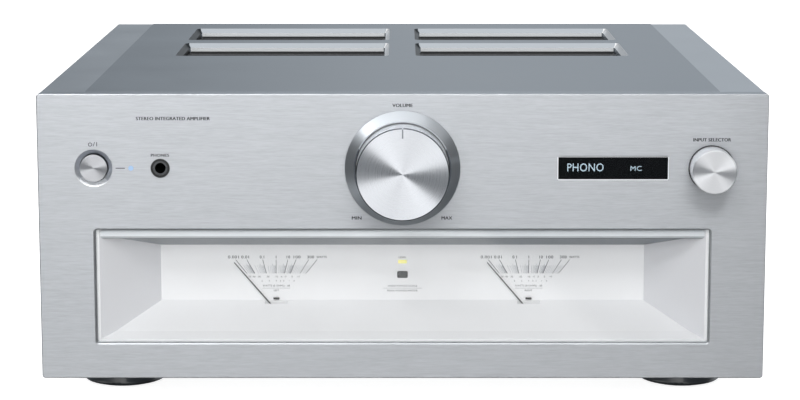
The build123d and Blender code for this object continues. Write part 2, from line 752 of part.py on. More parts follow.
# ------------------------------------------------------------------ line sockets and the input board
socket_body = 12.0  # depth of a socket's plastic body inside the case
socket_collar, collar_reach = 6.2, 2.4
socket_tip = rear_y + 12.0
socket_mouth, mouth_depth = 3.4, 1.0
contact_radius = 1.65  # takes a plug's 3.2 mm pin
sockets = []
for x in socket_columns:
    with BuildPart() as column:
        block(around(x, 7), (case_back - socket_body, case_back), (socket_rows[0] - 9, socket_rows[1] + 9))
    sockets.append(column.part)
    for z in socket_rows:
        with BuildPart() as shell:
            rod(x, z, socket_root, (case_back, rear_y + collar_reach))
            rod(x, z, socket_radius, (rear_y + collar_reach, socket_tip))
            rod(x, z, socket_mouth, (socket_tip - mouth_depth, socket_tip), Mode.SUBTRACT)
            rod(x, z, contact_radius, (case_back, socket_tip), Mode.SUBTRACT)
        sockets.append(shell.part)
        with BuildPart() as collar:
            rod(x, z, socket_collar, (rear_y, rear_y + collar_reach))
            rod(x, z, socket_root, (rear_y, rear_y + collar_reach), Mode.SUBTRACT)
        sockets.append(collar.part)
save(Compound(children=sockets), "line_sockets")

input_back = case_back - socket_body
input_front = input_back - board_thick
input_low, input_high = 112.0, 166.0
relay_z, input_can_z = 150.0, 128.0
with BuildPart() as input_board:
    block((-198, 112), (input_front, input_back), (input_low, input_high))
    for x in (-150, -120, -90, -60):
        block(around(x, 6), (input_front - 9, input_front), around(relay_z, 4))
    for x in (-135, -105, -75, 0, 20, 75):
        rod(x, input_can_z, 4, (input_front - 10, input_front))
save(input_board.part, "input_board")

usb_front, usb_back = input_back, rear_y + 1
usb_cavity_x, usb_cavity_z, usb_cavity_depth = 4.3, 4.0, 9.0
with BuildPart() as usb_socket:
    block(around(usb_x, usb_half_x), (usb_front, usb_back), around(usb_z, usb_half_z))
    block(around(usb_x, usb_cavity_x), (usb_back - usb_cavity_depth, usb_back),
          around(usb_z, usb_cavity_z), Mode.SUBTRACT)
    block(around(usb_x, 2.8), (usb_back - usb_cavity_depth, usb_back - 5), around(usb_z, 1.6))
save(usb_socket.part, "usb_socket")

inlet_back, inlet_front = rear_y + inlet_plate, rear_y - 24.0
cavity_depth = 18.0
with BuildPart() as mains_inlet:
    block(around(0, 25), (rear_y, inlet_back), around(inlet_z, 12))
    fillet(mains_inlet.edges().filter_by(Axis.Y), 4)
    block(around(0, inlet_half_x), (inlet_front, rear_y), around(inlet_z, inlet_half_z))
    with BuildSketch(rearward(inlet_plate, 0, inlet_z)):
        with BuildLine():
            Polyline((-12, -8.2), (12, -8.2), (12, 3.2), (7, 8.2), (-7, 8.2), (-12, 3.2), close=True)
        make_face()
    extrude(amount=-cavity_depth, mode=Mode.SUBTRACT)
    for x, z in ((-7, -2.5), (7, -2.5), (0, 2)):
        block(around(x, 1), (inlet_back - cavity_depth, inlet_back - 6), around(inlet_z + z, 2))
    for x, z in inlet_screws:
        rod(x, z, screw_hole, (rear_y, inlet_back), Mode.SUBTRACT)
save(mains_inlet.part, "mains_inlet")

# ------------------------------------------------------------------ loudspeaker and earth terminals
post_front, post_back = rear_y - 18.0, rear_y + 24.0
bore_depth = 14.0  # of the hole for a 4 mm plug
wire_hole_y, wire_hole_radius = rear_y + 7.3, 1.7
insulator_back, insulator_front = rear_y + 5.0, rear_y - 5.0
nut_depth = 3.5
ground_back = rear_y + 13.0
posts, insulators = [], []
for x in post_x:
    with BuildPart() as post:
        rod(x, post_z, post_radius, (post_front, post_back))
        with BuildSketch(Plane(origin=(x, insulator_front, post_z), z_dir=(0, 1, 0))):
            RegularPolygon(7, 6)
        extrude(amount=-nut_depth)
        rod(x, post_z, banana_radius, (post_back - bore_depth, post_back), Mode.SUBTRACT)
        upright(x, wire_hole_y, wire_hole_radius, around(post_z, post_radius + 1), Mode.SUBTRACT)
    posts.append(post.part)
    with BuildPart() as insulator:
        rod(x, post_z, 9.5, (rear_y, insulator_back))
        chamfer(insulator.faces().sort_by(Axis.Y)[-1].edges(), 0.8)
        rod(x, post_z, post_hole, (case_back, rear_y))
        rod(x, post_z, 9, (insulator_front, case_back))
        rod(x, post_z, post_radius, (insulator_front, insulator_back), Mode.SUBTRACT)
    insulators.append(insulator.part)
with BuildPart() as ground_post:
    rod(ground_x, ground_z, ground_radius, (rear_y - 9, ground_back))
    with BuildSketch(Plane(origin=(ground_x, rear_y, ground_z), z_dir=(0, 1, 0))):
        RegularPolygon(5, 6)
    extrude(amount=nut_thick)
posts.append(ground_post.part)
save(Compound(children=posts), "terminal_posts")
save(Compound(children=insulators), "terminal_insulators")

washer_front, washer_thick = 0.1, 1.6  # the washer's place behind what it rests on
cap_front = insulator_back + washer_front + washer_thick + gap
cap_back = rear_y + terminal_reach
flute_count, flute_radius = 14, 1.4
for number, x in enumerate(post_x, start=1):
    with BuildPart() as washer:
        rest = insulator_back + washer_front
        rod(x, post_z, 7.6, (rest, rest + washer_thick))
        rod(x, post_z, post_radius + running_gap, (rest, rest + washer_thick), Mode.SUBTRACT)
    save(washer.part, f"terminal_{number}_washer")
    with BuildPart() as cap:
        with BuildSketch(Plane(origin=(x, cap_front, post_z), z_dir=(0, 1, 0))):
            Circle(8.5)
            with PolarLocations(9.3, flute_count):
                Circle(flute_radius, mode=Mode.SUBTRACT)
        extrude(amount=cap_back - cap_front)
        chamfer(cap.faces().sort_by(Axis.Y)[-1].outer_wire().edges(), 0.5)
        rod(x, post_z, post_radius + running_gap, (cap_front, post_back + gap), Mode.SUBTRACT)
        rod(x, post_z, banana_radius + 0.6, (post_back, cap_back), Mode.SUBTRACT)
    save(cap.part, f"terminal_{number}_cap")

ground_washer_front = rear_y + nut_thick + washer_front
ground_nut_front = ground_washer_front + 0.8 + gap
ground_nut_back = ground_nut_front + 7.0
with BuildPart() as ground_washer:
    rod(ground_x, ground_z, 4.5, (ground_washer_front, ground_washer_front + 0.8))
    rod(ground_x, ground_z, ground_radius + running_gap, (ground_washer_front, ground_back), Mode.SUBTRACT)
save(ground_washer.part, "ground_washer")
with BuildPart() as ground_nut:
    with BuildSketch(Plane(origin=(ground_x, ground_nut_front, ground_z), z_dir=(0, 1, 0))):
        Circle(6)
        with PolarLocations(6.5, 16):
            Circle(0.9, mode=Mode.SUBTRACT)
    extrude(amount=7)
    rod(ground_x, ground_z, ground_radius + running_gap, (ground_nut_front, ground_nut_back), Mode.SUBTRACT)
save(ground_nut.part, "ground_nut")

# ------------------------------------------------------------------ wiring
# Flat cable from the control board, down to the floor, back under the heatsink's fins and up again.
cable_x, cable_width, cable_thick = -168.0, 13.0, 0.9
cable_low, cable_top_z = floor_z + 2.0, 130.0
with BuildPart() as ribbon_cable:
    with BuildSketch(Plane.YZ.offset(cable_x)):
        with BuildLine():
            FilletPolyline(
                (board_back, cable_top_z),
                (board_back + 14, cable_top_z),
                (board_back + 14, cable_low),
                (input_front - 12, cable_low),
                (input_front - 12, cable_top_z),
                (input_front, cable_top_z),
                radius=4,
            )
        trace(line_width=cable_thick)
    extrude(amount=cable_width)
save(ribbon_cable.part, "ribbon_cable")
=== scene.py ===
"""Looks of the integrated amplifier: camera, studio, materials, and the prints, scales and small parts
that the CAD frame doesn't hold. Metres, in the CAD frame: X right, Y to the back, Z up, front plate at -Y.
"""

import math

import bmesh
import bpy
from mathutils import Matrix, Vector


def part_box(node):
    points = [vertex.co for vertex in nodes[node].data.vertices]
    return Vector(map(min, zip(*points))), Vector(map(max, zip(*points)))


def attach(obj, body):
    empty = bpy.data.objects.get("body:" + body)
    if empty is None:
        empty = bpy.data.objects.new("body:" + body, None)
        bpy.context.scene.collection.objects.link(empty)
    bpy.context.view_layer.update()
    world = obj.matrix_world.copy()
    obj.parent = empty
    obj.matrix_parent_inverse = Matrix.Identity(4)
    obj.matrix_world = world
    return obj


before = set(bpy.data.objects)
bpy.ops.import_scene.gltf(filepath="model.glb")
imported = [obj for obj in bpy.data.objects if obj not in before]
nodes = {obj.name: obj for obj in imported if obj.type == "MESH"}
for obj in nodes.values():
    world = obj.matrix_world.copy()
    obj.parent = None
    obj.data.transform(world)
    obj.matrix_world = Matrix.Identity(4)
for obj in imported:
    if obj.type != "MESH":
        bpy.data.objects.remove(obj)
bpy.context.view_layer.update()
MM = 0.001

# ------------------------------------------------------------------ places, taken from the frame
plate_low, plate_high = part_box("faceplate")
front = plate_low.y
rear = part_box("rear_panel")[1].y


def middle(node):
    """Middle of a CAD node's box."""
    low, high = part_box(node)
    return (low + high) / 2


volume = middle("volume_knob")
selector = middle("selector_knob")
power = middle("power_button")
lamp = middle("power_lamp")
jack = middle("headphone_socket")
display = middle("display_window")
level_lamp = middle("level_lamp")
row_z = volume.z
scale_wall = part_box("level_lamp")[0].y + 0.3 * MM  # the tray's back wall
meter_x = middle("right_meter_movement").x
pivot_z = plate_low.z + 33.2 * MM  # height of the needles' axes


# ------------------------------------------------------------------ shader building
class Shader:
    """A node material being built. A socket given as a value is linked, and anything else is set."""

    def __init__(self, name):
        self.material = bpy.data.materials.new(name)
        self.material.use_nodes = True
        self.tree = self.material.node_tree
        self.tree.nodes.clear()

    def add(self, kind, values=None, **settings):
        node = self.tree.nodes.new("ShaderNode" + kind)
        for key, value in settings.items():
            setattr(node, key, value)
        for key, value in (values or {}).items():
            socket = node.inputs[key]
            if isinstance(value, bpy.types.NodeSocket):
                self.tree.links.new(value, socket)
            elif socket.type == "RGBA" and len(value) == 3:
                socket.default_value = (*value, 1)
            else:
                socket.default_value = value
        return node

    def place(self, scale=(1, 1, 1)):
        """Point in the CAD frame, in millimetres, stretched by scale."""
        coords = self.add("TexCoord").outputs["Object"]
        factors = [1000 * s for s in scale]
        return self.add("Mapping", {"Vector": coords, "Scale": factors}).outputs[0]

    def noise(self, scale, detail=2.0, size=1.0):
        """Noise from 0 to 1 with features of size millimetres, divided along each axis by scale."""
        values = {"Vector": self.place(scale), "Scale": 1 / size, "Detail": detail, "Roughness": 0.6}
        return self.add("TexNoise", values).outputs["Fac"]

    def spread(self, value, low, high, start=0.3, end=0.7):
        """Value from start to end mapped to low to high."""
        values = {"Value": value, "From Min": start, "From Max": end, "To Min": low, "To Max": high}
        return self.add("MapRange", values).outputs[0]

    def math(self, operation, a, b=0.0):
        return self.add("Math", {0: a, 1: b}, operation=operation).outputs[0]

    def vector(self, operation, a, b=(0, 0, 0)):
        return self.add("VectorMath", {0: a, 1: b}, operation=operation).outputs[0]

    def tint(self, factor, a, b):
        """Colour from a to b by factor."""
        node = self.add("Mix", data_type="RGBA")
        for socket, value in ((node.inputs[0], factor), (node.inputs[6], a), (node.inputs[7], b)):
            if isinstance(value, bpy.types.NodeSocket):
                self.tree.links.new(value, socket)
            else:
                socket.default_value = (*value, 1) if socket.type == "RGBA" else value
        return node.outputs[2]

    def bump(self, height, distance):
        return self.add("Bump", {"Height": height, "Distance": distance, "Strength": 1.0}).outputs[0]

    def finish(self, shader):
        output = self.add("OutputMaterial")
        self.tree.links.new(shader, output.inputs["Surface"])
        return self.material

    def principled(self, **values):
        """The usual surface. Names have underscores for spaces."""
        named = {key.replace("_", " "): value for key, value in values.items()}
        return self.add("BsdfPrincipled", named).outputs[0]


def srgb(red, green, blue):
    """Linear colour of an sRGB colour given from 0 to 255."""
    def linear(value):
        value /= 255
        return value / 12.92 if value <= 0.04045 else ((value + 0.055) / 1.055) ** 2.4
    return (linear(red), linear(green), linear(blue))


def darker(colour, factor):
    return tuple(c * factor for c in colour)


def paint(material, *names):
    """Gives CAD nodes one material."""
    for name in names:
        mesh = nodes[name].data
        mesh.materials.clear()
        mesh.materials.append(material)


# ------------------------------------------------------------------ materials
SHADE_REACH = 30 * MM  # how far what stands on the front plate shades it
SHADE_FROM = (0, -0.6, 0.8)  # side that the shading light comes from
NUDGE = (0.002, 0.003, 0.001)  # keeps a tangent from vanishing on a face that looks along the grain
TOOTH = 0.006 * MM  # depth of a bead-blasted finish


def brushed(name, colour, rough, grain, contrast):
    """Aluminium brushed along X, with the reflection drawn out across the grain, and a soft shade under
    what stands proud of it."""
    s = Shader(name)
    fine = s.noise(grain, 3, 0.42)
    broad = s.noise([g * 0.5 for g in grain], 2, 0.7)
    both = s.math("ADD", s.math("MULTIPLY", fine, 0.6), s.math("MULTIPLY", broad, 0.4))
    base = s.tint(s.spread(both, 0, 1), darker(colour, 1 - contrast), darker(colour, 1 + contrast / 2))
    reach = {"Distance": SHADE_REACH, "Normal": SHADE_FROM}
    open_sky = s.add("AmbientOcclusion", reach, samples=8).outputs["AO"]
    base = s.tint(s.spread(open_sky, 0, 1, 0.25, 0.72), darker(colour, 0.22), base)
    normal = s.add("NewGeometry").outputs["Normal"]
    across = s.vector("CROSS_PRODUCT", normal, (1, 0, 0))
    tangent = s.vector("ADD", across, NUDGE)
    shader = s.principled(
        Base_Color=base,
        Metallic=0.9,
        Specular_IOR_Level=0.3,
        Roughness=s.spread(both, rough - 0.03, rough + 0.03),
        Anisotropic=0.8,
        Tangent=s.vector("NORMALIZE", tangent),
        Normal=s.bump(both, 0.02 * MM),
    )
    return s.finish(shader)


# glow gives the metal light of its own: painted light, used for the painted highlights
def blasted(name, colour, rough, glow=0.0):
    """Bead-blasted and anodised aluminium: fine even tooth with faint clouds."""
    s = Shader(name)
    tooth = s.noise((1, 1, 1), 2, 0.25)
    cloud = s.noise((1, 1, 1), 3, 60)
    mixed = s.math("ADD", s.math("MULTIPLY", tooth, 0.5), s.math("MULTIPLY", cloud, 0.5))
    base = s.tint(s.spread(mixed, 0, 1), darker(colour, 0.95), darker(colour, 1.025))
    shader = s.principled(
        Base_Color=base, Metallic=1.0, Roughness=s.spread(cloud, rough - 0.02, rough + 0.03),
        Normal=s.bump(tooth, TOOTH), Emission_Color=base, Emission_Strength=glow,
    )
    return s.finish(shader)


def painted_shade_fade(name, colour, low):
    """Bead-blasted aluminium of a cut edge that gets dark just above the height low, in millimetres:
    painted shade in the vent's depth, with a painted glow above it.
    """
    s = Shader(name)
    tooth = s.noise((1, 1, 1), 2, 0.25)
    height = s.add("SeparateXYZ", {0: s.place()}).outputs["Z"]
    # painted shade: brightness falls towards the foot of the wall
    light = s.spread(height, 0.06, 1.0, low + 0.5, low + 1.3)
    base = s.tint(s.math("MULTIPLY", light, s.spread(tooth, 0.96, 1.0)), (0.0, 0.0, 0.0), colour)
    shader = s.principled(
        Base_Color=base, Metallic=1.0, Roughness=0.3, Normal=s.bump(tooth, TOOTH), Emission_Color=base,
        Emission_Strength=0.4,
    )
    return s.finish(shader)


PITCH = 0.22  # distance between the rings that a lathe leaves, in millimetres


def turned(name, colour, rough, centre, stretch, depth=0.004):
    """Metal turned on a lathe about an axis along Y through centre: fine rings and a fanned reflection."""
    s = Shader(name)
    coords = s.add("TexCoord").outputs["Object"]
    from_axis = s.vector("SUBTRACT", coords, (centre.x, 0, centre.z))
    flat = s.vector("MULTIPLY", from_axis, (1, 0, 1))
    distance = s.add("VectorMath", {0: flat}, operation="LENGTH").outputs["Value"]
    along = {"W": s.math("MULTIPLY", distance, 1000 / PITCH), "Scale": 1.0, "Detail": 2.0}
    rings = s.add("TexNoise", along, noise_dimensions="1D").outputs["Fac"]
    base = s.tint(s.spread(rings, 0, 1), darker(colour, 0.96), darker(colour, 1.02))
    radial = s.vector("NORMALIZE", s.vector("ADD", flat, (0.00001, 0, 0.00001)))
    turn = {"vector_type": "VECTOR", "convert_from": "OBJECT", "convert_to": "WORLD"}
    world = s.add("VectorTransform", {"Vector": radial}, **turn).outputs[0]
    shader = s.principled(
        Base_Color=base, Metallic=1.0, Roughness=s.spread(rings, rough - 0.01, rough + 0.01),
        Anisotropic=stretch, Tangent=world, Normal=s.bump(rings, depth * MM),
    )
    return s.finish(shader)


def plated(name, colour, rough=0.22):
    """Plated metal with faint handling marks."""
    s = Shader(name)
    marks = s.noise((1, 1, 1), 4, 3)
    fine = s.noise((1, 1, 1), 1, 0.3)
    base = s.tint(s.spread(marks, 0, 1), darker(colour, 0.88), colour)
    shader = s.principled(Base_Color=base, Metallic=1.0, Roughness=s.spread(marks, rough, rough + 0.12),
                          Normal=s.bump(fine, 0.004 * MM))
    return s.finish(shader)


# glow gives light of its own; on the tray and the light bar's underside it is painted light
def moulded(name, colour, rough, tooth=0.3, depth=0.01, contrast=0.06, coat=0.0, glow=0.0):
    """Moulded plastic or paint: a fine texture, faint clouds, a lacquer coat where asked."""
    s = Shader(name)
    grain = s.noise((1, 1, 1), 2, tooth)
    cloud = s.noise((1, 1, 1), 3, 25)
    base = s.tint(s.spread(cloud, 0, 1), darker(colour, 1 - contrast), darker(colour, 1 + contrast / 2))
    shader = s.principled(
        Base_Color=base, Roughness=s.spread(grain, rough - 0.04, rough + 0.05), Coat_Weight=coat,
        Coat_Roughness=0.08, Normal=s.bump(grain, depth * MM), Emission_Color=base, Emission_Strength=glow,
    )
    return s.finish(shader)


def lit(name, colour, strength, edge=0.6):
    """A lamp or lit segment: brighter in its middle than where it turns away."""
    s = Shader(name)
    facing = s.add("LayerWeight", {"Blend": 0.4}).outputs["Facing"]
    speck = s.noise((1, 1, 1), 1, 0.4)
    fall = s.spread(facing, strength, strength * edge, 0, 1)
    glow = s.math("MULTIPLY", fall, s.spread(speck, 0.95, 1.05))
    shader = s.principled(Base_Color=colour, Roughness=0.25, Emission_Color=colour, Emission_Strength=glow)
    return s.finish(shader)


def clear(name, tint, gloss, haze=0.0):
    """Clear acrylic that lets light through unbent, with reflections that grow towards grazing."""
    s = Shader(name)
    swirl = s.noise((1, 1, 1), 2, 90)
    through = s.add("BsdfTransparent", {"Color": s.tint(s.spread(swirl, 0, 1), darker(tint, 0.985), tint)})
    shine = s.add("BsdfGlossy", {"Color": (1, 1, 1), "Roughness": s.spread(swirl, 0.015, 0.03)})
    amount = s.math("MULTIPLY", s.add("Fresnel", {"IOR": 1.49}).outputs[0], gloss)
    mix = s.add("MixShader", {0: amount, 1: through.outputs[0], 2: shine.outputs[0]})
    veil = s.add("BsdfDiffuse", {"Color": darker(tint, haze)})
    return s.finish(s.add("AddShader", {0: mix.outputs[0], 1: veil.outputs[0]}).outputs[0])


def circuit(name):
    """Green solder mask with a pattern of paler tracks."""
    s = Shader(name)
    cells = s.add("TexVoronoi", {"Vector": s.place((1, 1, 1)), "Scale": 0.35}, feature="DISTANCE_TO_EDGE",
                  distance="MANHATTAN")
    tracks = s.spread(cells.outputs["Distance"], 1, 0, 0.04, 0.07)
    base = s.tint(tracks, srgb(20, 62, 42), srgb(44, 104, 66))
    raised = s.bump(tracks, 0.02 * MM)
    return s.finish(s.principled(Base_Color=base, Roughness=0.35, Coat_Weight=0.3, Normal=raised))


face_metal = brushed("face_metal", srgb(174, 177, 181), 0.46, (0.06, 1.0, 1.0), 0.15)
top_metal = blasted("top_metal", srgb(162, 170, 178), 0.42)
side_metal = blasted("side_metal", srgb(192, 199, 206), 0.4)
bevel_metal = blasted("bevel_metal", srgb(178, 184, 190), 0.4)
# Painted highlight and painted shade: vent bevels that face left get a bright copy with a glow, those that
# face right a dark copy
bevel_painted_highlight = blasted("bevel_painted_highlight", srgb(236, 238, 240), 0.3, glow=0.18)
bevel_painted_shade = blasted("bevel_painted_shade", srgb(48, 53, 57), 0.4)
# Painted shade and painted glow on the vents' front walls, dark at their foot
vent_wall_painted_shade = painted_shade_fade("vent_wall_painted_shade", srgb(236, 239, 241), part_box("top_plate")[0].z / MM)
# Painted shade: near-black metal for the vents' end walls that face right
vent_end_painted_shade = blasted("vent_end_painted_shade", srgb(40, 43, 46), 0.5)
# Painted highlight on the power button's dish: faces that tilt up get lit copies with a glow, brighter the
# more they tilt
dish_painted_highlight = blasted("dish_painted_highlight", srgb(224, 226, 228), 0.35, glow=0.12)
dish_painted_half_light = blasted("dish_painted_half_light", srgb(196, 199, 203), 0.35, glow=0.06)
# Painted shade: mid-grey with a faint glow for the light bar's underside
bar_painted_shade = moulded("bar_painted_shade", srgb(176, 181, 185), 0.5, glow=0.1)
# Painted shade: grey for the meter tray's downward-facing ceiling
ceiling_painted_shade = moulded("ceiling_painted_shade", srgb(136, 141, 145), 0.7)
# Painted shade: dark grey for the light bar's steepest underside and its back
bar_painted_deep_shade = moulded("bar_painted_deep_shade", srgb(70, 74, 78), 0.7)
# Painted shade: a darker copy of the tray's white for its side walls
tray_side_painted_shade = moulded("tray_side_painted_shade", srgb(222, 223, 227), 0.5, 0.2, 0.004, 0.015)
volume_metal = turned("volume_metal", srgb(218, 221, 226), 0.28, volume, 1.0, 0.001)
# Painted shade: dark metal for the volume knob's face chamfer and the lower lip of its skirt's bore
knob_edge_painted_shade = turned("knob_edge_painted_shade", srgb(92, 97, 104), 0.3, volume, 0.5)
skirt_metal = turned("skirt_metal", srgb(182, 187, 192), 0.3, volume, 0.3, 0.001)
selector_metal = turned("selector_metal", srgb(244, 246, 249), 0.38, selector, 1.0, 0.001)
# Painted highlight: bright metal with a glow for the knobs' upward sides and the display's rim
painted_highlight_metal = blasted("painted_highlight_metal", srgb(232, 234, 237), 0.34, glow=0.14)
button_metal = turned("button_metal", srgb(226, 228, 232), 0.42, power, 1.0)
dish_metal = turned("dish_metal", srgb(208, 211, 216), 0.3, power, 0.5)
steel = plated("zinc_steel", srgb(176, 180, 182), 0.35)
nickel = plated("nickel", srgb(205, 206, 204), 0.2)
jack_ring = plated("jack_ring", srgb(96, 98, 100), 0.25)
gold = plated("gold_plate", srgb(222, 190, 118), 0.18)
black_steel = moulded("black_steel", srgb(42, 43, 45), 0.5, 0.25, 0.02)
black_plastic = moulded("black_plastic", srgb(27, 27, 29), 0.42)
black_gloss = moulded("black_gloss", srgb(12, 12, 14), 0.16, coat=0.6, depth=0.002)
foot_plastic = moulded("foot_plastic", srgb(62, 68, 73), 0.22, coat=0.8, depth=0.003)
rubber = moulded("rubber", srgb(24, 24, 25), 0.8, 0.5, 0.03)
# The tray's white plastic, with a faint painted glow of its own to lift it
tray_white_painted_glow = moulded("tray_white_painted_glow", srgb(240, 241, 243), 0.5, 0.2, 0.004, 0.015, glow=0.02)
bar_white = moulded("bar_white", srgb(214, 219, 223), 0.28, 0.3, 0.003, 0.02, coat=0.4, glow=0.08)
heatsink_black = blasted("heatsink_black", srgb(38, 39, 42), 0.5)
board_green = circuit("board_green")
core_tape = moulded("core_tape", srgb(34, 34, 38), 0.45, 1.2, 0.06)
can_sleeve = moulded("can_sleeve", srgb(30, 34, 52), 0.3, 0.6, 0.01, coat=0.4)
cable_grey = moulded("cable_grey", srgb(150, 152, 154), 0.5)
ink = moulded("ink", srgb(14, 16, 18), 0.6, 0.2, 0.003)
pointer_grey = moulded("pointer_grey", srgb(120, 124, 130), 0.5, 0.2, 0.003)
scale_ink = moulded("scale_ink", srgb(62, 66, 72), 0.6, 0.2, 0.003)
faint_ink = moulded("faint_ink", srgb(150, 154, 160), 0.6, 0.2, 0.003)
needle_ink = moulded("needle_ink", srgb(58, 60, 63), 0.5, 0.2, 0.003)
white_ink = moulded("white_ink", srgb(214, 216, 218), 0.6, 0.2, 0.003)
red_plastic = moulded("red_plastic", srgb(166, 26, 28), 0.3, coat=0.4)
white_plastic = moulded("white_plastic", srgb(226, 226, 222), 0.3, coat=0.4)
glass_clear = clear("glass_clear", (0.992, 0.992, 0.99), 0.6)
glass_smoked = clear("glass_smoked", (0.12, 0.135, 0.15), 0.6, 0.03)
# Painted highlight: opaque pale plastic for the window's edges in place of their bright glint
glass_edge_painted_highlight = moulded("glass_edge_painted_highlight", srgb(214, 222, 226), 0.2, coat=0.5, depth=0.002)
sensor_dark = moulded("sensor_dark", srgb(42, 45, 50), 0.25, coat=0.3, depth=0.002)
text_glow = lit("text_glow", srgb(236, 238, 230), 44.0, 1.0)
power_glow = lit("power_glow", srgb(132, 156, 184), 0.35, 0.6)
lamp_yellow = lit("lamp_yellow", srgb(214, 210, 132), 0.55)

paint(face_metal, "faceplate")
paint(skirt_metal, "volume_skirt")
paint(volume_metal, "volume_knob")
paint(selector_metal, "selector_knob")
paint(button_metal, "power_button")
paint(top_metal, "top_plate")
paint(side_metal, "left_side_panel", "right_side_panel")
paint(steel, "front_subpanel", "bottom_chassis", "transformer_clamp", "usb_socket")
paint(nickel, "chassis_screws", "volume_encoder", "selector_encoder", "volume_shaft", "selector_shaft",
      "ground_washer", "ground_nut")
paint(gold, "line_sockets", "terminal_posts", "board_standoffs")
paint(black_steel, "rear_panel", "vent_grille")
paint(black_plastic, "mains_inlet", "terminal_insulators", "display_module", "headphone_socket",
      "power_transistors", "left_meter_movement", "right_meter_movement")
paint(foot_plastic, "feet")
paint(rubber, "foot_pads")
paint(tray_white_painted_glow, "meter_tray")
paint(bar_white, "meter_light_bar")
paint(heatsink_black, "left_heatsink", "right_heatsink")
paint(board_green, "control_board", "power_supply_board", "left_amplifier_board",
      "right_amplifier_board", "input_board")
paint(core_tape, "transformer")
paint(can_sleeve, "filter_capacitors")
paint(cable_grey, "ribbon_cable")
paint(needle_ink, "left_needle", "right_needle")
paint(sensor_dark, "remote_sensor")
paint(glass_clear, "meter_window")
paint(glass_smoked, "display_window")
paint(power_glow, "power_lamp")
paint(lamp_yellow, "level_lamp")
for number in range(1, 5):
    paint(gold, f"terminal_{number}_cap", f"terminal_{number}_washer")


def paint_where(node, material, chosen):
    """Gives one material to the faces of a CAD node that chosen(centre, normal) picks."""
    mesh = nodes[node].data
    mesh.materials.append(material)
    index = len(mesh.materials) - 1
    for face in mesh.polygons:
        if chosen(face.center, face.normal):
            face.material_index = index


def off_axis(centre, point):
    """Distance from the line along Y through centre."""
    return math.hypot(point.x - centre.x, point.z - centre.z)


DISH, SKIRT_BORE, KNOB_RIM, JACK_RIM = 12 * MM, 28.8 * MM, 26.5 * MM, 4.3 * MM  # radii
VENT_END = 160 * MM  # the vents lie within this distance of the middle


def in_dish(c, n):
    """Whether a face is part of the sloped wall of the power button's dish."""
    return off_axis(power, c) < DISH and c.y < front + 3 * MM and abs(n.y) < 0.95


paint_where("faceplate", dish_metal, in_dish)
paint_where("faceplate", top_metal, lambda c, n: n.z > 0.9 and c.z > plate_high.z - 0.2 * MM)
paint_where("top_plate", bevel_metal, lambda c, n: 0.1 < n.z < 0.9)
# Painted shade: the vents' front walls darken towards their foot
paint_where("top_plate", vent_wall_painted_shade, lambda c, n: n.y < -0.9 and c.y > plate_low.y + 10 * MM)
# Painted highlight on the dish faces that tilt up, strongest on the steepest
paint_where("faceplate", dish_painted_half_light, lambda c, n: in_dish(c, n) and n.z > 0.1)
paint_where("faceplate", dish_painted_highlight, lambda c, n: in_dish(c, n) and n.z > 0.45)
# Painted shade on the lower lip of the skirt's bore
paint_where("volume_skirt", knob_edge_painted_shade,
            lambda c, n: off_axis(volume, c) < SKIRT_BORE and c.z < volume.z + 12 * MM)
# Painted shade on the tray's faces that look down
paint_where("meter_tray", ceiling_painted_shade, lambda c, n: n.z < -0.3)
# Painted shade on the light bar's underside, darker where it faces straight down or back
paint_where("meter_light_bar", bar_painted_shade, lambda c, n: n.z < -0.2)
paint_where("meter_light_bar", bar_painted_deep_shade, lambda c, n: n.z < -0.75 or n.y > 0.6)
# Painted shade on the tray's side walls
paint_where("meter_tray", tray_side_painted_shade, lambda c, n: abs(n.x) > 0.4)
# Painted shade on the vents' end walls that face right
paint_where("top_plate", vent_end_painted_shade, lambda c, n: n.x > 0.9 and abs(c.x) < VENT_END)
# Painted shade on the vent bevels that face right, painted highlight on those that face left
paint_where("top_plate", bevel_painted_shade, lambda c, n: 0.1 < n.z < 0.9 and n.x > 0.3)
paint_where("top_plate", bevel_painted_highlight, lambda c, n: 0.1 < n.z < 0.9 and n.x < -0.3)
# Painted shade on the chamfer round the knob's face
paint_where("volume_knob", knob_edge_painted_shade, lambda c, n: n.y < -0.3 and off_axis(volume, c) > KNOB_RIM)
# Painted highlight on the upward sides of the volume and selector knobs
paint_where("volume_knob", painted_highlight_metal, lambda c, n: abs(n.y) < 0.3 and n.z > 0.1)
paint_where("selector_knob", painted_highlight_metal, lambda c, n: abs(n.y) < 0.3 and n.z > -0.2)
# Painted highlight on the meter window's edges
paint_where("meter_window", glass_edge_painted_highlight, lambda c, n: abs(n.y) < 0.3)
paint_where("headphone_socket", jack_ring,
            lambda c, n: off_axis(jack, c) < JACK_RIM and c.y < front + 12 * MM)


# ------------------------------------------------------------------ mesh helpers
def piece(name, mesh, material, body="case"):
    """A new mesh piece that rides on a body."""
    mesh.name = name
    mesh.materials.append(material)
    obj = bpy.data.objects.new(name, mesh)
    bpy.context.scene.collection.objects.link(obj)
    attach(obj, body)
    return obj


def mesh_of(bm, smooth=False):
    """Turns a finished bmesh into a mesh."""
    mesh = bpy.data.meshes.new("new")
    bm.to_mesh(mesh)
    bm.free()
    for face in mesh.polygons:
        face.use_smooth = smooth
    return mesh


def add_bar(bm, start, end, width, y, thick):
    """A flat printed bar from start to end, both (x, z), lying on the plane at y."""
    a, b = Vector(start), Vector(end)
    side = (b - a).orthogonal().normalized() * width / 2
    corners = [a + side, a - side, b - side, b + side]
    near = [bm.verts.new((c.x, y - thick, c.y)) for c in corners]
    far = [bm.verts.new((c.x, y, c.y)) for c in corners]
    bm.faces.new(near)
    bm.faces.new(far[::-1])
    for i in range(4):
        j = (i + 1) % 4
        bm.faces.new((near[i], far[i], far[j], near[j]))


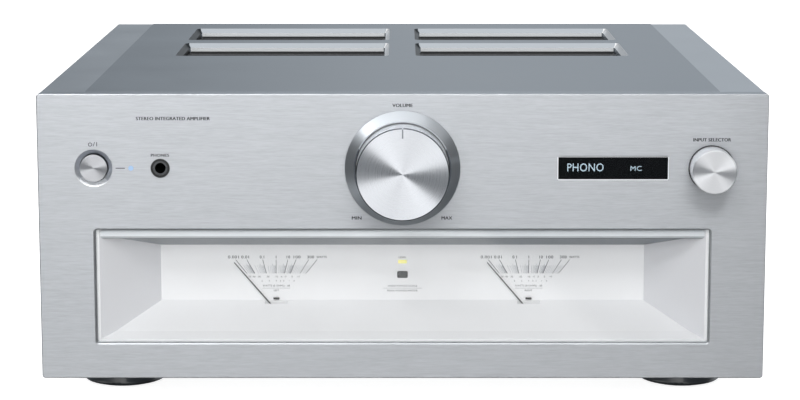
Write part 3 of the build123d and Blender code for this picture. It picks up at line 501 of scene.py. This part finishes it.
def add_arc(bm, centre, radius, width, start, end, y, thick, steps=24):
    """A flat printed arc round centre (x, z), from angle start to end in degrees from upright."""
    def at(angle):
        a = math.radians(angle)
        return (centre[0] + radius * math.sin(a), centre[1] + radius * math.cos(a))
    for i in range(steps):
        first = start + (end - start) * i / steps
        last = start + (end - start) * (i + 1) / steps
        add_bar(bm, at(first), at(last), width, y, thick)


def text_mesh(text):
    """Outline of a text as a mesh in its own plane, with its capitals' height made 1."""
    curve = bpy.data.curves.new("text", "FONT")
    curve.body = text
    curve.resolution_u = 3
    curve.space_character = 1.06
    holder = bpy.data.objects.new("text", curve)
    bpy.context.scene.collection.objects.link(holder)
    graph = bpy.context.evaluated_depsgraph_get()
    mesh = bpy.data.meshes.new_from_object(holder.evaluated_get(graph))
    bpy.data.objects.remove(holder)
    return mesh


CAPITAL = 0.729  # height of the built-in font's capitals for a text of size 1
PRINT = 0.02 * MM  # thickness of a print on the front and rear plates
SCALE_PRINT = 0.03 * MM  # thickness of a print on the tray's back wall


def add_text(bm, text, x, z, height, y, thick=PRINT, width=None, toward=-1, weight=0.02):
    """Lettering centred on x, standing from z to z + height on the plane at y, facing -Y or +Y.
    It is laid twice, weight times its height to each side, so that thin strokes print solid."""
    for side in (-1, 1) if weight else (0,):
        place = x + side * weight * height
        lay_text(bm, text, place, z, height, y, thick * (1 + 0.2 * side), width, toward)


def lay_text(bm, text, x, z, height, y, thick, width, toward):
    """One layer of lettering."""
    mesh = text_mesh(text)
    xs = [v.co.x for v in mesh.vertices]
    scale = height / CAPITAL
    wide = (max(xs) - min(xs)) * scale
    stretch = width / wide if width else 1
    centre = (max(xs) + min(xs)) / 2
    new = bmesh.new()
    new.from_mesh(mesh)
    for v in new.verts:
        px = (v.co.x - centre) * scale * stretch
        v.co = (x - toward * px, y, z + v.co.y * scale)
    grown = bmesh.ops.extrude_face_region(new, geom=new.faces[:])
    for v in (g for g in grown["geom"] if isinstance(g, bmesh.types.BMVert)):
        v.co.y += toward * thick
    bmesh.ops.recalc_face_normals(new, faces=new.faces[:])
    part = bpy.data.meshes.new("part")
    new.to_mesh(part)
    new.free()
    bm.from_mesh(part)
    bpy.data.meshes.remove(part)
    bpy.data.meshes.remove(mesh)


SIDES = 64  # steps round a turned ring


def lathe(name, profile, start, centre, material, body):
    """A ring turned about an axis along Y through centre. The profile's points are (radius, y) in order,
    in millimetres, with y counted from start."""
    bm = bmesh.new()
    rings = []
    for radius, along in profile:
        ring = []
        for i in range(SIDES):
            a = 2 * math.pi * i / SIDES
            x, z = centre[0] + radius * MM * math.cos(a), centre[1] + radius * MM * math.sin(a)
            ring.append(bm.verts.new((x, start + along * MM, z)))
        rings.append(ring)
    for i in range(len(rings)):
        a, b = rings[i], rings[(i + 1) % len(rings)]
        for j in range(SIDES):
            k = (j + 1) % SIDES
            bm.faces.new((a[j], a[k], b[k], b[j]))
    bmesh.ops.recalc_face_normals(bm, faces=bm.faces[:])
    ring = piece(name, mesh_of(bm, True), material, body)
    edges = ring.modifiers.new("edges", "EDGE_SPLIT")
    edges.split_angle = math.radians(35)


# ------------------------------------------------------------------ prints on the front
# Words on the front: text, x that it is placed from, millimetres to the right of it and above the knobs'
# row, height of the capitals, width.
FRONT_WORDS = (
    ("VOLUME", volume.x, 0, 37.4, 2.05, 11.8),
    ("MIN", volume.x, -27.1, -29.7, 2.05, 5.6),
    ("MAX", volume.x, 26.2, -29.7, 2.05, 6.2),
    ("PHONES", jack.x, 0, 7.8, 1.8, 10.6),
    ("STEREO INTEGRATED AMPLIFIER", 0, -134.8, 29.6, 2.05, 43.3),
    ("INPUT SELECTOR", selector.x, 0, 17.0, 2.05, 22.1),
)
BOLD = 0.055  # weight of these words
# The power button's mark: an open circle, then strokes by start, end and width from the circle's middle.
CIRCLE_AT = (-1.7, 14.2)  # its middle, from the button's middle
CIRCLE = (1.05, 0.4, 42)  # radius, width, half the opening in degrees
POWER_STROKES = (
    ((0, 0.1), (0, 1.5), 0.4),
    ((1.7, -1.2), (2.7, 1.3), 0.36),
    ((3.9, -1.2), (3.9, 1.3), 0.4),
)
LAMP_LINE = (-9, -3.5, 0.45)  # the line left of the power lamp: start, end, width
EDGE = 0.3 * MM  # half the width of the selector's painted shadow ring and of the display's painted highlight rim
SHADOW_RING_GAP = 0.06 * MM  # free space between the selector and its painted shadow ring


def front_prints():
    """Lettering and marks on the front plate."""
    bm = bmesh.new()
    for text, x, right, up, height, width in FRONT_WORDS:
        low = row_z + up * MM - height * MM / 2
        add_text(bm, text, x + right * MM, low, height * MM, front, width=width * MM, weight=BOLD)
    mark = (power.x + CIRCLE_AT[0] * MM, row_z + CIRCLE_AT[1] * MM)
    radius, width, opening = CIRCLE
    add_arc(bm, mark, radius * MM, width * MM, opening, 360 - opening, front, PRINT)
    for start, end, width in POWER_STROKES:
        a, b = [(mark[0] + x * MM, mark[1] + z * MM) for x, z in (start, end)]
        add_bar(bm, a, b, width * MM, front, PRINT)
    start, end, width = [value * MM for value in LAMP_LINE]
    add_bar(bm, (lamp.x + start, row_z), (lamp.x + end, row_z), width, front, PRINT)
    piece("front_lettering", mesh_of(bm), ink)


def front_edges():
    """A painted shadow ring round the selector and a painted highlight rim round the display."""
    low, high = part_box("selector_knob")
    radius = (high.x - low.x) / 2 + SHADOW_RING_GAP + EDGE
    bm = bmesh.new()
    add_arc(bm, (selector.x, selector.z), radius, 2 * EDGE, 0, 360, front, SCALE_PRINT, 96)
    # painted shadow: a dark ring where the knob meets the front
    piece("selector_painted_shadow_ring", mesh_of(bm), black_plastic)
    low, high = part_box("display_window")
    bm = bmesh.new()
    for side in (low.x - EDGE, high.x + EDGE):
        add_bar(bm, (side, low.z), (side, high.z), 2 * EDGE, front, SCALE_PRINT)
    foot, head = low.z - EDGE, high.z + EDGE / 2
    add_bar(bm, (low.x, foot), (high.x, foot), 2 * EDGE, front, SCALE_PRINT)
    add_bar(bm, (low.x, head), (high.x, head), EDGE, front, SCALE_PRINT)
    # painted highlight: a light rim along the display's edges
    piece("display_painted_highlight_rim", mesh_of(bm), painted_highlight_metal)


front_prints()
front_edges()


# ------------------------------------------------------------------ meter scales
# Numbers of a scale and their angles round the needle's axis, in degrees from upright.
MARKS = (("0.001", -38.3), ("0.01", -29.8), ("0.1", -14.7), ("1", 0.0), ("10", 12.8), ("100", 21.2),
         ("300", 32.5), ("WATTS", 38.6))
DECADES = (-38.3, -29.8, -14.7, 0.0, 12.8, 21.2)
UPPER_MARKS = ((21.2, 1.9, 6), (32.5, 1.5, 4))  # fine marks past the decades: start, step, end of the count
LEVELS = (("-50", -38.3), ("-40", -33.5), ("-30", -27), ("-20", -14), ("-10", 0), ("-6", 8.5), ("-3", 15),
          ("0", 25), ("+3", 33))
# Heights above the needle's axis, in millimetres, and widths.
TICK_FOOT, LONG_TICK, MIDDLE_TICK, SHORT_TICK = 22.7, 31.2, 28.6, 27.6
NUMBER_ROW, LEVEL_ROW, SMALL_ROW, LEGEND_ROW, LINE_ROW, SIDE_ROW = 32.9, 20.7, 18.1, 14.5, 13.5, 11.6
TICK_WIDTH, FINE_WIDTH, HAIRLINE = 0.3, 0.16, 0.14
NUMBER_WIDTHS = {"WATTS": 6.2, "0.001": 6.6, "0.01": 4.6, "100": 4.2, "300": 4.2}
SMALL_SPREAD = 0.94  # the small numbers' angles as a share of the levels'
LINE_REACH, LEGEND_REACH = 8.5, 12  # half the length of the lines under the legends


def meter_scale(x, side):
    """The printed scale behind one needle: log ticks that fan from its pivot, numbers and a legend."""
    bm, fine = bmesh.new(), bmesh.new()

    def ray(angle, z):
        return (x + (z - pivot_z) * math.tan(math.radians(angle)), z)

    def tick(target, angle, high, width):
        low, high = ray(angle, pivot_z + TICK_FOOT * MM), ray(angle, pivot_z + high * MM)
        add_bar(target, low, high, width * MM, scale_wall, SCALE_PRINT)

    def word(text, x, z, height, width=None, weight=0):
        width = width and width * MM
        add_text(bm, text, x, z, height * MM, scale_wall, SCALE_PRINT, width, weight=weight)

    for _, angle in MARKS:
        tick(bm, angle, LONG_TICK, TICK_WIDTH)
    for a, b in zip(DECADES, DECADES[1:]):
        for step in range(2, 10):
            high = MIDDLE_TICK if step == 5 else SHORT_TICK
            tick(fine, a + (b - a) * math.log10(step), high, FINE_WIDTH)
    for start, pitch, end in UPPER_MARKS:
        for step in range(1, end):
            tick(fine, start + step * pitch, SHORT_TICK, FINE_WIDTH)
    for text, angle in MARKS:
        z = pivot_z + NUMBER_ROW * MM
        height, right = (1.4, 1.4) if text == "WATTS" else (1.85, 0)
        across = ray(angle, z)[0] + right * MM
        word(text, across, z - height * MM / 2, height, NUMBER_WIDTHS.get(text), 0.02)
    for index, (text, angle) in enumerate(LEVELS):
        z = pivot_z + LEVEL_ROW * MM
        word(text, ray(angle, z)[0], z - 0.55 * MM, 1.1)
        if 1 < index:
            z = pivot_z + SMALL_ROW * MM
            word(str(8 - index), ray(angle * SMALL_SPREAD, z)[0], z - 0.5 * MM, 1.0)
    word("WATTS (8 OHMS) : dB", x, pivot_z + LEGEND_ROW * MM, 1.2, 16.5)
    line, reach = pivot_z + LINE_ROW * MM, LINE_REACH * MM
    add_bar(bm, (x - reach, line), (x + reach, line), HAIRLINE * MM, scale_wall, SCALE_PRINT)
    word(side.upper(), x, pivot_z + SIDE_ROW * MM, 1.1, weight=0.02)
    piece(f"{side}_meter_scale", mesh_of(bm), scale_ink)
    piece(f"{side}_fine_marks", mesh_of(fine), faint_ink)


meter_scale(-meter_x, "left")
meter_scale(meter_x, "right")


def centre_legend():
    """Words between the meters, above the level lamp and under the sensor."""
    bm = bmesh.new()

    def word(text, z, height, width, weight=0):
        add_text(bm, text, 0, z, height * MM, scale_wall, SCALE_PRINT, width * MM, weight=weight)

    word("LEVEL", level_lamp.z + 2.2 * MM, 1.1, 4.6, 0.02)
    z = pivot_z + LINE_ROW * MM
    word("WIDE RANGE SCALE", z + 0.9 * MM, 1.2, 18)
    reach = LEGEND_REACH * MM
    add_bar(bm, (-reach, z), (reach, z), HAIRLINE * MM, scale_wall, SCALE_PRINT)
    word("PEAK POWER METER", z - 2.1 * MM, 1.2, 18.5)
    piece("centre_legend", mesh_of(bm), scale_ink)


centre_legend()


# ------------------------------------------------------------------ display and pointer
# Words in the display, in millimetres: text, x from its middle, foot above the row's, height, width.
DISPLAY_FOOT = -2.45
DISPLAY_WORDS = (("PHONO", -16.0, 0, 5.0, 21.4), ("MC", 13.9, 0.3, 3.0, 6.6))


def display_text():
    """The lit words behind the display's window."""
    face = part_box("display_module")[0].y
    low = display.z + DISPLAY_FOOT * MM
    bm = bmesh.new()
    for text, x, up, height, width in DISPLAY_WORDS:
        add_text(bm, text, display.x + x * MM, low + up * MM, height * MM, face, width=width * MM, weight=0)
    piece("display_text", mesh_of(bm), text_glow)


display_text()


def pointer_strip():
    """Dark filling of the groove in the volume knob."""
    low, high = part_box("volume_knob")
    bm = bmesh.new()
    inner, outer = high.z - 6.1 * MM, high.z - 0.7 * MM
    add_bar(bm, (volume.x, inner), (volume.x, outer), 0.8 * MM, low.y + 0.5 * MM, 0.35 * MM)
    piece("volume_pointer", mesh_of(bm), pointer_grey, "volume_control")


pointer_strip()


# ------------------------------------------------------------------ back panel, in millimetres
SOCKET_X = (-165, -135, -105, -75, -45, 45)
SOCKET_Z = (("lower", 126), ("upper", 150))
SOCKET_NAMES = ("PHONO", "CD", "LINE 1", "LINE 2", "REC OUT", "PRE OUT")
POST_X = (-180, -150, 150, 180)
# Outlines of turned plastic parts: radius, and distance from the sockets' tips, the rear panel and the
# panel's end of a loudspeaker cap.
SOCKET_RING = ((1.75, -1.0), (3.35, -1.0), (3.35, -0.25), (3.1, -0.1), (1.9, -0.1), (1.75, -0.25))
SOCKET_COLLAR = ((4.25, 2.4), (6.1, 2.4), (6.1, 2.75), (5.8, 3.0), (4.5, 3.0), (4.25, 2.8))
CAP_RING = ((8.52, 0.3), (8.85, 0.7), (8.85, 2.6), (8.52, 3.0), (7.3, 3.0), (7.3, 0.3))
# Words on the rear panel: text, x, height of their foot, height of the capitals.
REAR_WORDS = (
    *((name, x, 162.5, 2.2) for x, name in zip(SOCKET_X, SOCKET_NAMES)),
    *((name, x, z - 1.2, 2.4) for z, name in ((150, "L"), (126, "R")) for x in (-178, 33)),
    ("USB", 90, 147.5, 2.2),
    ("GND", -192, 128, 2.2),
    ("SPEAKERS", -165, 79, 2.8),
    ("SPEAKERS", 165, 79, 2.8),
    *((sign, x, 73.5, 2.6) for x, sign in zip(POST_X, ("+", "-", "-", "+"))),
    ("LEFT", -165, 46, 2.4),
    ("RIGHT", 165, 46, 2.4),
    ("AC IN", 0, 78, 2.8),
)


def back_details():
    """Plastic rings of the line sockets and loudspeaker caps, and the rear panel's lettering."""
    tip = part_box("line_sockets")[1].y
    for column, x in enumerate(SOCKET_X, start=1):
        for row, z in SOCKET_Z:
            plastic = white_plastic if row == "upper" else red_plastic
            for part, profile, start in (("ring", SOCKET_RING, tip), ("collar", SOCKET_COLLAR, rear)):
                name = f"socket_{column}_{row}_{part}"
                lathe(name, profile, start, (x * MM, z * MM), plastic, "case")
    for number, x in enumerate(POST_X, start=1):
        cap = f"terminal_{number}_cap"
        low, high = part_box(cap)
        plastic = red_plastic if number in (1, 4) else black_gloss
        centre = (x * MM, (low.z + high.z) / 2)
        lathe(f"terminal_{number}_ring", CAP_RING, low.y, centre, plastic, cap)
    bm = bmesh.new()
    for text, x, z, height in REAR_WORDS:
        add_text(bm, text, x * MM, z * MM, height * MM, rear, toward=1)
    piece("back_lettering", mesh_of(bm), white_ink)


back_details()


# ------------------------------------------------------------------ studio
MIRROR_Z = -0.16  # height of the direction that the front plate mirrors towards the camera
# Brightness of the studio round that direction, by angle in degrees from the right, counted upwards.
# Two dark stretches, one at each side, are what draws the dark fans on the turned knob faces.
RING = (
    (-180, 0.1), (-172, 0.1), (-168, 1.3), (-112, 1.6), (-101, 1.25), (-90, 1.6), (-79, 1.2),
    (-41, 1.5), (-36, 0.1), (9, 0.1), (12, 1.3), (60, 1.35), (72, 1.2), (90, 1.9), (112, 2.1),
    (141, 2.2), (145, 0.06), (180, 0.1),
)
BEHIND = ((-1.0, 0.15), (-0.12, 0.2), (0.0, 0.68), (0.12, 0.53), (1.0, 0.72))  # behind the amplifier, by X
FILL = 0.36  # light that falls on matt surfaces from all round
SIDE = 0.12  # brightness straight to the left and right
RAISED = 0.72  # brightness well above the mirrored direction
OVERHEAD = 1.35  # brightness straight up
BELOW = 0.05  # brightness straight down


def studio_light():
    """World light: white where the camera looks past the amplifier, even for matt surfaces, and for
    gloss a studio that is bright above and below with dark sides."""
    world = bpy.data.worlds.new("studio")
    bpy.context.scene.world = world
    world.use_nodes = True
    world.cycles.sampling_method = "NONE"
    tree = world.node_tree
    tree.nodes.clear()
    link = tree.links.new

    def add(kind, values=None, **settings):
        node = tree.nodes.new("ShaderNode" + kind)
        for key, value in settings.items():
            setattr(node, key, value)
        for key, value in (values or {}).items():
            if isinstance(value, bpy.types.NodeSocket):
                link(value, node.inputs[key])
            else:
                node.inputs[key].default_value = value
        return node

    def ramp(factor, stops):
        node = add("ValToRGB", {0: factor})
        elements = node.color_ramp.elements
        for position, value in stops[1:-1]:
            elements.new(position).color = shade(value)
        for element, (_, value) in ((elements[0], stops[0]), (elements[-1], stops[-1])):
            element.color = shade(value)
        return node.outputs[0]

    def shade(value):
        """Grey of this brightness, a little bluer where it is dark."""
        cool = 0.13 * max(0.0, 1 - value)
        return (value * (1 - cool), value, value * (1 + cool), 1)

    def smooth(value, start, end):
        values = {"Value": value, "From Min": start, "From Max": end}
        return add("MapRange", values, interpolation_type="SMOOTHSTEP").outputs[0]

    def mix(factor, a, b):
        node = add("Mix", {0: factor}, data_type="RGBA")
        for socket, value in ((node.inputs[6], a), (node.inputs[7], b)):
            if isinstance(value, bpy.types.NodeSocket):
                link(value, socket)
            else:
                socket.default_value = (value, value, value, 1)
        return node.outputs[2]

    parts = add("SeparateXYZ", {0: add("TexCoord").outputs["Generated"]}).outputs
    raised = add("Math", {0: parts["Z"], 1: MIRROR_Z}, operation="SUBTRACT").outputs[0]
    angle = add("Math", {0: raised, 1: parts["X"]}, operation="ARCTAN2").outputs[0]
    turn = add("MapRange", {"Value": angle, "From Min": -math.pi, "From Max": math.pi}).outputs[0]
    front_ring = ramp(turn, [(degrees / 360 + 0.5, value) for degrees, value in RING])
    across = add("MapRange", {"Value": parts["X"], "From Min": -1}).outputs[0]
    behind = ramp(across, [((x + 1) / 2, value) for x, value in BEHIND])
    sideways = add("Math", {0: parts["X"]}, operation="ABSOLUTE").outputs[0]
    ahead = mix(smooth(parts["Z"], 0.1, 0.3), front_ring, RAISED)
    ahead = mix(smooth(sideways, 0.8, 0.95), ahead, SIDE)
    behind = mix(smooth(parts["Z"], 0.45, 0.75), behind, RAISED)
    around = mix(smooth(parts["Y"], -0.1, 0.2), ahead, behind)
    around = mix(smooth(parts["Z"], 0.75, 0.95), around, OVERHEAD)
    downward = add("Math", {0: parts["Z"], 1: -1.0}, operation="MULTIPLY").outputs[0]
    around = mix(smooth(downward, 0.4, 0.75), around, BELOW)
    path = add("LightPath").outputs
    seen = mix(path["Is Diffuse Ray"], around, FILL)
    seen = mix(path["Is Camera Ray"], seen, 1.0)
    background = add("Background", {"Color": seen})
    link(background.outputs[0], add("OutputWorld").inputs["Surface"])


def floor():
    """The white paper that the amplifier stands on."""
    bm = bmesh.new()
    bmesh.ops.create_grid(bm, x_segments=1, y_segments=1, size=30)
    paper = bpy.data.objects.new("floor", mesh_of(bm))
    bpy.context.scene.collection.objects.link(paper)
    paper.visible_glossy = False
    s = Shader("floor_paper")
    cloud = s.noise((1, 1, 1), 2, 400)
    base = s.tint(s.spread(cloud, 0, 1), (0.88, 0.88, 0.885), (0.9, 0.9, 0.9))
    white = s.math("MULTIPLY", s.add("LightPath").outputs["Is Camera Ray"], 0.9)
    matt = s.principled(
        Base_Color=base, Roughness=0.9, Specular_IOR_Level=0.0, Emission_Color=(1, 1, 1),
        Emission_Strength=white,
    )
    paper.data.materials.append(s.finish(matt))


def softbox(name, place, target, width, height, watts):
    """A rectangular lamp that faces a point."""
    light = bpy.data.lights.new(name, "AREA")
    light.shape = "RECTANGLE"
    light.size = width
    light.size_y = height
    light.energy = watts
    obj = bpy.data.objects.new(name, light)
    bpy.context.scene.collection.objects.link(obj)
    obj.location = place
    obj.rotation_euler = (Vector(target) - Vector(place)).to_track_quat("-Z", "Y").to_euler()
    return obj


# Lamps: name, place, the point that they face, width, height, watts.
KEY = ("key", (-1.1, -1.7, 1.9), (0, front, 0.1), 0.9, 0.9, 3)
WASHES = (
    ("wash_high", (-0.5, -2.0, 2.0), (0, front, 0.1), 1.4, 0.8, 50),
    ("wash_low", (-0.35, -2.6, 1.0), (0, front, 0.1), 1.4, 0.8, 22),
)
SHEENS = (
    ("sheen_left", (-0.42, -0.9, 0.75), (-0.1, front, 0.12), 0.45, 0.3, 1.3),
    ("sheen_top", (-0.08, -0.47, 0.48), (0, front, 0.15), 0.8, 0.14, 3.0),
)

studio_light()
floor()
softbox(*KEY)
for lamp_values in WASHES:
    softbox(*lamp_values).visible_glossy = False
front_only = bpy.data.collections.new("front_only")
front_only.objects.link(nodes["faceplate"])
front_only.objects.link(nodes["volume_skirt"])
for lamp_values in SHEENS:
    sheen = softbox(*lamp_values)
    sheen.visible_diffuse = False
    sheen.light_linking.receiver_collection = front_only

# ------------------------------------------------------------------ camera
CAMERA_AT = (-0.0015, -1.5839, 0.3727)
CAMERA_DOWN = 8.907  # degrees below level
LENS, SENSOR = 106.75, 36  # millimetres
FRAME_SHIFT = -0.06
camera_data = bpy.data.cameras.new("camera")
camera_data.sensor_width = SENSOR
camera_data.lens = LENS
camera_data.shift_y = FRAME_SHIFT
camera_data.clip_start = 0.05
camera_data.clip_end = 100
camera = bpy.data.objects.new("camera", camera_data)
bpy.context.scene.collection.objects.link(camera)
camera.location = CAMERA_AT
camera.rotation_euler = (math.radians(90 - CAMERA_DOWN), 0, 0)
bpy.context.scene.camera = camera
bpy.context.scene.view_settings.view_transform = "Standard"
